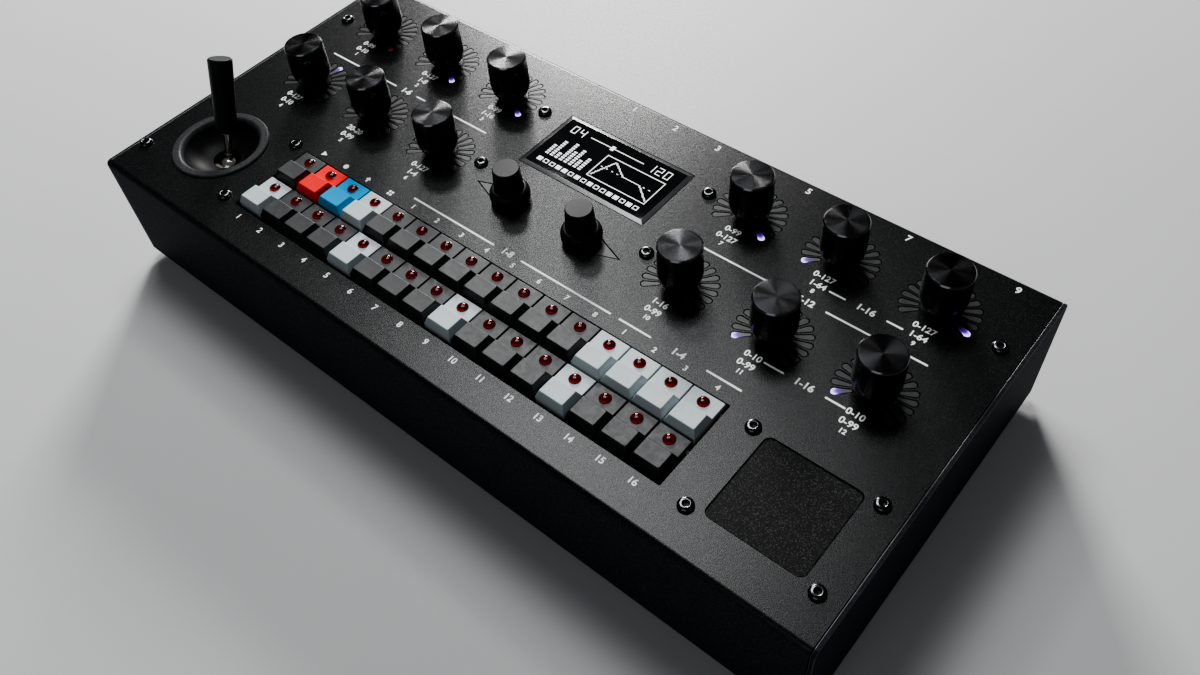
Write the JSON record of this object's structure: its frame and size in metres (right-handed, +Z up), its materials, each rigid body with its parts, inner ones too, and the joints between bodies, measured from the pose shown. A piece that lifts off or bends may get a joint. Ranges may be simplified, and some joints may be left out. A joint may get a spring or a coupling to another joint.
{
  "type": "groovebox",
  "caption": "Desktop groovebox in a black sheet-metal case, with step keys with lamps, encoder knobs in rings of light windows, a display, a touch pad and a two-axis joystick.",
  "frame": {"origin": "on the floor under the middle of the whole part", "axes": "+X to the right as the player sees it, +Y to the rear, +Z up"},
  "size_m": [0.345, 0.1604, 0.0873],
  "materials": {
    "case_paint": "fine textured black powder coat",
    "circuit_board": "solder mask",
    "lamp_red": "clear red lens",
    "light_guide": "smoked translucent",
    "display_glass": "black glass behind a bevelled clear window",
    "pad_rubber": "pebbled",
    "bowl_plastic": "satin black moulding",
    "socket_plastic": "black moulding",
    "black_steel": "black oxide, oiled",
    "foot_rubber": "matte",
    "key_dark": "satin moulding",
    "key_white": "satin moulding",
    "key_red": "satin moulding",
    "key_blue": "satin moulding",
    "knob_aluminium": "black anodised, spun top",
    "knob_rubber": "soft-touch black",
    "joystick_metal": "polished nickel",
    "stick_sleeve": "black sleeve on a polished nickel shaft"
  },
  "bodies": {
    "case": {"top_cover": "case_paint", "base_tray": "case_paint", "rear_panel": "case_paint", "control_board": "circuit_board", "key_switches": "lamp_red", "light_guides": "light_guide", "display_module": "display_glass", "touch_pad": "pad_rubber", "joystick_housing": "bowl_plastic", "rear_jacks": "socket_plastic", "fasteners": "black_steel", "feet": "foot_rubber"},
    "key_top_01": {"key_top_01": "key_dark"},
    "key_top_02": {"key_top_02": "key_red"},
    "key_top_03": {"key_top_03": "key_blue"},
    "key_top_04": {"key_top_04": "key_white"},
    "key_top_05": {"key_top_05": "key_dark"},
    "key_top_06": {"key_top_06": "key_dark"},
    "key_top_07": {"key_top_07": "key_dark"},
    "key_top_08": {"key_top_08": "key_dark"},
    "key_top_09": {"key_top_09": "key_dark"},
    "key_top_10": {"key_top_10": "key_dark"},
    "key_top_11": {"key_top_11": "key_dark"},
    "key_top_12": {"key_top_12": "key_dark"},
    "key_top_13": {"key_top_13": "key_white"},
    "key_top_14": {"key_top_14": "key_white"},
    "key_top_15": {"key_top_15": "key_white"},
    "key_top_16": {"key_top_16": "key_white"},
    "key_bottom_01": {"key_bottom_01": "key_white"},
    "key_bottom_02": {"key_bottom_02": "key_dark"},
    "key_bottom_03": {"key_bottom_03": "key_dark"},
    "key_bottom_04": {"key_bottom_04": "key_dark"},
    "key_bottom_05": {"key_bottom_05": "key_white"},
    "key_bottom_06": {"key_bottom_06": "key_dark"},
    "key_bottom_07": {"key_bottom_07": "key_dark"},
    "key_bottom_08": {"key_bottom_08": "key_dark"},
    "key_bottom_09": {"key_bottom_09": "key_white"},
    "key_bottom_10": {"key_bottom_10": "key_dark"},
    "key_bottom_11": {"key_bottom_11": "key_dark"},
    "key_bottom_12": {"key_bottom_12": "key_dark"},
    "key_bottom_13": {"key_bottom_13": "key_white"},
    "key_bottom_14": {"key_bottom_14": "key_dark"},
    "key_bottom_15": {"key_bottom_15": "key_dark"},
    "key_bottom_16": {"key_bottom_16": "key_dark"},
    "encoder_knob_01": {"encoder_knob_01": "knob_aluminium"},
    "encoder_knob_02": {"encoder_knob_02": "knob_aluminium"},
    "encoder_knob_03": {"encoder_knob_03": "knob_aluminium"},
    "encoder_knob_04": {"encoder_knob_04": "knob_aluminium"},
    "encoder_knob_05": {"encoder_knob_05": "knob_aluminium"},
    "encoder_knob_06": {"encoder_knob_06": "knob_aluminium"},
    "encoder_knob_07": {"encoder_knob_07": "knob_aluminium"},
    "encoder_knob_08": {"encoder_knob_08": "knob_aluminium"},
    "encoder_knob_09": {"encoder_knob_09": "knob_aluminium"},
    "encoder_knob_10": {"encoder_knob_10": "knob_aluminium"},
    "encoder_knob_11": {"encoder_knob_11": "knob_aluminium"},
    "encoder_knob_12": {"encoder_knob_12": "knob_aluminium"},
    "pot_knob_left": {"pot_knob_left": "knob_rubber"},
    "pot_knob_right": {"pot_knob_right": "knob_rubber"},
    "joystick_yoke": {"joystick_yoke": "joystick_metal"},
    "joystick_stick": {"joystick_stick": "stick_sleeve"}
  },
  "joints": [
    {"name": "joystick_fore_aft", "type": "hinge", "parent": "case", "child": "joystick_yoke", "pos_m": [-0.1399, -0.04465, 0.0435], "axis": [1, 0, 0], "range_deg": [-3.1, 48.9]},
    {"name": "joystick_left_right", "type": "hinge", "parent": "joystick_yoke", "child": "joystick_stick", "pos_m": [-0.1399, -0.04465, 0.0435], "axis": [0, 0.9212, -0.3891], "range_deg": [-16.7, 35.3]},
    {"name": "pot_knob_left_turn", "type": "hinge", "parent": "case", "child": "pot_knob_left", "pos_m": [-0.01825, 0.00335, 0.0555], "axis": [0, 0, 1], "range_deg": [-150, 150]},
    {"name": "pot_knob_right_turn", "type": "hinge", "parent": "case", "child": "pot_knob_right", "pos_m": [0.01805, 0.00335, 0.0555], "axis": [0, 0, 1], "range_deg": [-150, 150]},
    {"name": "encoder_knob_01_turn", "type": "hinge", "parent": "case", "child": "encoder_knob_01", "pos_m": [-0.1399, 0.05065, 0.0555], "axis": [0, 0, 1], "continuous": true},
    {"name": "key_top_01_press", "type": "hinge", "parent": "case", "child": "key_top_01", "pos_m": [-0.09924, -0.02778, 0.0538], "axis": [1, 0, 0], "range_deg": [0, 3.5], "stiffness_Nm_per_rad": 0.2, "springref_deg": -2.86},
    {"name": "key_top_02_press", "type": "hinge", "parent": "case", "child": "key_top_02", "pos_m": [-0.08607, -0.02778, 0.0538], "axis": [1, 0, 0], "range_deg": [0, 3.5], "stiffness_Nm_per_rad": 0.2, "springref_deg": -2.86},
    {"name": "key_bottom_01_press", "type": "hinge", "parent": "case", "child": "key_bottom_01", "pos_m": [-0.09924, -0.04595, 0.0538], "axis": [1, 0, 0], "range_deg": [0, 3.5], "stiffness_Nm_per_rad": 0.2, "springref_deg": -2.86},
    {"name": "key_bottom_02_press", "type": "hinge", "parent": "case", "child": "key_bottom_02", "pos_m": [-0.08607, -0.04595, 0.0538], "axis": [1, 0, 0], "range_deg": [0, 3.5], "stiffness_Nm_per_rad": 0.2, "springref_deg": -2.86},
    {"name": "encoder_knob_02_turn", "type": "hinge", "parent": "case", "child": "encoder_knob_02", "pos_m": [-0.1006, 0.05065, 0.0555], "axis": [0, 0, 1], "continuous": true},
    {"name": "encoder_knob_03_turn", "type": "hinge", "parent": "case", "child": "encoder_knob_03", "pos_m": [-0.0613, 0.05065, 0.0555], "axis": [0, 0, 1], "continuous": true},
    {"name": "encoder_knob_04_turn", "type": "hinge", "parent": "case", "child": "encoder_knob_04", "pos_m": [-0.1399, 0.00725, 0.0555], "axis": [0, 0, 1], "continuous": true},
    {"name": "encoder_knob_05_turn", "type": "hinge", "parent": "case", "child": "encoder_knob_05", "pos_m": [-0.1006, 0.00725, 0.0555], "axis": [0, 0, 1], "continuous": true},
    {"name": "encoder_knob_06_turn", "type": "hinge", "parent": "case", "child": "encoder_knob_06", "pos_m": [-0.0613, 0.00725, 0.0555], "axis": [0, 0, 1], "continuous": true},
    {"name": "encoder_knob_07_turn", "type": "hinge", "parent": "case", "child": "encoder_knob_07", "pos_m": [0.0608, 0.05065, 0.0555], "axis": [0, 0, 1], "continuous": true},
    {"name": "encoder_knob_08_turn", "type": "hinge", "parent": "case", "child": "encoder_knob_08", "pos_m": [0.1001, 0.05065, 0.0555], "axis": [0, 0, 1], "continuous": true},
    {"name": "encoder_knob_09_turn", "type": "hinge", "parent": "case", "child": "encoder_knob_09", "pos_m": [0.1394, 0.05065, 0.0555], "axis": [0, 0, 1], "continuous": true},
    {"name": "encoder_knob_10_turn", "type": "hinge", "parent": "case", "child": "encoder_knob_10", "pos_m": [0.0608, 0.00725, 0.0555], "axis": [0, 0, 1], "continuous": true},
    {"name": "encoder_knob_11_turn", "type": "hinge", "parent": "case", "child": "encoder_knob_11", "pos_m": [0.1001, 0.00725, 0.0555], "axis": [0, 0, 1], "continuous": true},
    {"name": "encoder_knob_12_turn", "type": "hinge", "parent": "case", "child": "encoder_knob_12", "pos_m": [0.1394, 0.00725, 0.0555], "axis": [0, 0, 1], "continuous": true},
    {"name": "key_top_03_press", "type": "hinge", "parent": "case", "child": "key_top_03", "pos_m": [-0.07291, -0.02778, 0.0538], "axis": [1, 0, 0], "range_deg": [0, 3.5], "stiffness_Nm_per_rad": 0.2, "springref_deg": -2.86},
    {"name": "key_top_04_press", "type": "hinge", "parent": "case", "child": "key_top_04", "pos_m": [-0.05974, -0.02778, 0.0538], "axis": [1, 0, 0], "range_deg": [0, 3.5], "stiffness_Nm_per_rad": 0.2, "springref_deg": -2.86},
    {"name": "key_top_05_press", "type": "hinge", "parent": "case", "child": "key_top_05", "pos_m": [-0.04658, -0.02778, 0.0538], "axis": [1, 0, 0], "range_deg": [0, 3.5], "stiffness_Nm_per_rad": 0.2, "springref_deg": -2.86},
    {"name": "key_top_06_press", "type": "hinge", "parent": "case", "child": "key_top_06", "pos_m": [-0.03341, -0.02778, 0.0538], "axis": [1, 0, 0], "range_deg": [0, 3.5], "stiffness_Nm_per_rad": 0.2, "springref_deg": -2.86},
    {"name": "key_top_07_press", "type": "hinge", "parent": "case", "child": "key_top_07", "pos_m": [-0.02025, -0.02778, 0.0538], "axis": [1, 0, 0], "range_deg": [0, 3.5], "stiffness_Nm_per_rad": 0.2, "springref_deg": -2.86},
    {"name": "key_top_08_press", "type": "hinge", "parent": "case", "child": "key_top_08", "pos_m": [-0.00708, -0.02778, 0.0538], "axis": [1, 0, 0], "range_deg": [0, 3.5], "stiffness_Nm_per_rad": 0.2, "springref_deg": -2.86},
    {"name": "key_top_09_press", "type": "hinge", "parent": "case", "child": "key_top_09", "pos_m": [0.00608, -0.02778, 0.0538], "axis": [1, 0, 0], "range_deg": [0, 3.5], "stiffness_Nm_per_rad": 0.2, "springref_deg": -2.86},
    {"name": "key_top_10_press", "type": "hinge", "parent": "case", "child": "key_top_10", "pos_m": [0.01925, -0.02778, 0.0538], "axis": [1, 0, 0], "range_deg": [0, 3.5], "stiffness_Nm_per_rad": 0.2, "springref_deg": -2.86},
    {"name": "key_top_11_press", "type": "hinge", "parent": "case", "child": "key_top_11", "pos_m": [0.03241, -0.02778, 0.0538], "axis": [1, 0, 0], "range_deg": [0, 3.5], "stiffness_Nm_per_rad": 0.2, "springref_deg": -2.86},
    {"name": "key_top_12_press", "type": "hinge", "parent": "case", "child": "key_top_12", "pos_m": [0.04558, -0.02778, 0.0538], "axis": [1, 0, 0], "range_deg": [0, 3.5], "stiffness_Nm_per_rad": 0.2, "springref_deg": -2.86},
    {"name": "key_top_13_press", "type": "hinge", "parent": "case", "child": "key_top_13", "pos_m": [0.05874, -0.02778, 0.0538], "axis": [1, 0, 0], "range_deg": [0, 3.5], "stiffness_Nm_per_rad": 0.2, "springref_deg": -2.86},
    {"name": "key_top_14_press", "type": "hinge", "parent": "case", "child": "key_top_14", "pos_m": [0.07191, -0.02778, 0.0538], "axis": [1, 0, 0], "range_deg": [0, 3.5], "stiffness_Nm_per_rad": 0.2, "springref_deg": -2.86},
    {"name": "key_top_15_press", "type": "hinge", "parent": "case", "child": "key_top_15", "pos_m": [0.08507, -0.02778, 0.0538], "axis": [1, 0, 0], "range_deg": [0, 3.5], "stiffness_Nm_per_rad": 0.2, "springref_deg": -2.86},
    {"name": "key_top_16_press", "type": "hinge", "parent": "case", "child": "key_top_16", "pos_m": [0.09824, -0.02778, 0.0538], "axis": [1, 0, 0], "range_deg": [0, 3.5], "stiffness_Nm_per_rad": 0.2, "springref_deg": -2.86},
    {"name": "key_bottom_03_press", "type": "hinge", "parent": "case", "child": "key_bottom_03", "pos_m": [-0.07291, -0.04595, 0.0538], "axis": [1, 0, 0], "range_deg": [0, 3.5], "stiffness_Nm_per_rad": 0.2, "springref_deg": -2.86},
    {"name": "key_bottom_04_press", "type": "hinge", "parent": "case", "child": "key_bottom_04", "pos_m": [-0.05974, -0.04595, 0.0538], "axis": [1, 0, 0], "range_deg": [0, 3.5], "stiffness_Nm_per_rad": 0.2, "springref_deg": -2.86},
    {"name": "key_bottom_05_press", "type": "hinge", "parent": "case", "child": "key_bottom_05", "pos_m": [-0.04658, -0.04595, 0.0538], "axis": [1, 0, 0], "range_deg": [0, 3.5], "stiffness_Nm_per_rad": 0.2, "springref_deg": -2.86},
    {"name": "key_bottom_06_press", "type": "hinge", "parent": "case", "child": "key_bottom_06", "pos_m": [-0.03341, -0.04595, 0.0538], "axis": [1, 0, 0], "range_deg": [0, 3.5], "stiffness_Nm_per_rad": 0.2, "springref_deg": -2.86},
    {"name": "key_bottom_07_press", "type": "hinge", "parent": "case", "child": "key_bottom_07", "pos_m": [-0.02025, -0.04595, 0.0538], "axis": [1, 0, 0], "range_deg": [0, 3.5], "stiffness_Nm_per_rad": 0.2, "springref_deg": -2.86},
    {"name": "key_bottom_08_press", "type": "hinge", "parent": "case", "child": "key_bottom_08", "pos_m": [-0.00708, -0.04595, 0.0538], "axis": [1, 0, 0], "range_deg": [0, 3.5], "stiffness_Nm_per_rad": 0.2, "springref_deg": -2.86},
    {"name": "key_bottom_09_press", "type": "hinge", "parent": "case", "child": "key_bottom_09", "pos_m": [0.00608, -0.04595, 0.0538], "axis": [1, 0, 0], "range_deg": [0, 3.5], "stiffness_Nm_per_rad": 0.2, "springref_deg": -2.86},
    {"name": "key_bottom_10_press", "type": "hinge", "parent": "case", "child": "key_bottom_10", "pos_m": [0.01925, -0.04595, 0.0538], "axis": [1, 0, 0], "range_deg": [0, 3.5], "stiffness_Nm_per_rad": 0.2, "springref_deg": -2.86},
    {"name": "key_bottom_11_press", "type": "hinge", "parent": "case", "child": "key_bottom_11", "pos_m": [0.03241, -0.04595, 0.0538], "axis": [1, 0, 0], "range_deg": [0, 3.5], "stiffness_Nm_per_rad": 0.2, "springref_deg": -2.86},
    {"name": "key_bottom_12_press", "type": "hinge", "parent": "case", "child": "key_bottom_12", "pos_m": [0.04558, -0.04595, 0.0538], "axis": [1, 0, 0], "range_deg": [0, 3.5], "stiffness_Nm_per_rad": 0.2, "springref_deg": -2.86},
    {"name": "key_bottom_13_press", "type": "hinge", "parent": "case", "child": "key_bottom_13", "pos_m": [0.05874, -0.04595, 0.0538], "axis": [1, 0, 0], "range_deg": [0, 3.5], "stiffness_Nm_per_rad": 0.2, "springref_deg": -2.86},
    {"name": "key_bottom_14_press", "type": "hinge", "parent": "case", "child": "key_bottom_14", "pos_m": [0.07191, -0.04595, 0.0538], "axis": [1, 0, 0], "range_deg": [0, 3.5], "stiffness_Nm_per_rad": 0.2, "springref_deg": -2.86},
    {"name": "key_bottom_15_press", "type": "hinge", "parent": "case", "child": "key_bottom_15", "pos_m": [0.08507, -0.04595, 0.0538], "axis": [1, 0, 0], "range_deg": [0, 3.5], "stiffness_Nm_per_rad": 0.2, "springref_deg": -2.86},
    {"name": "key_bottom_16_press", "type": "hinge", "parent": "case", "child": "key_bottom_16", "pos_m": [0.09824, -0.04595, 0.0538], "axis": [1, 0, 0], "range_deg": [0, 3.5], "stiffness_Nm_per_rad": 0.2, "springref_deg": -2.86}
  ]
}
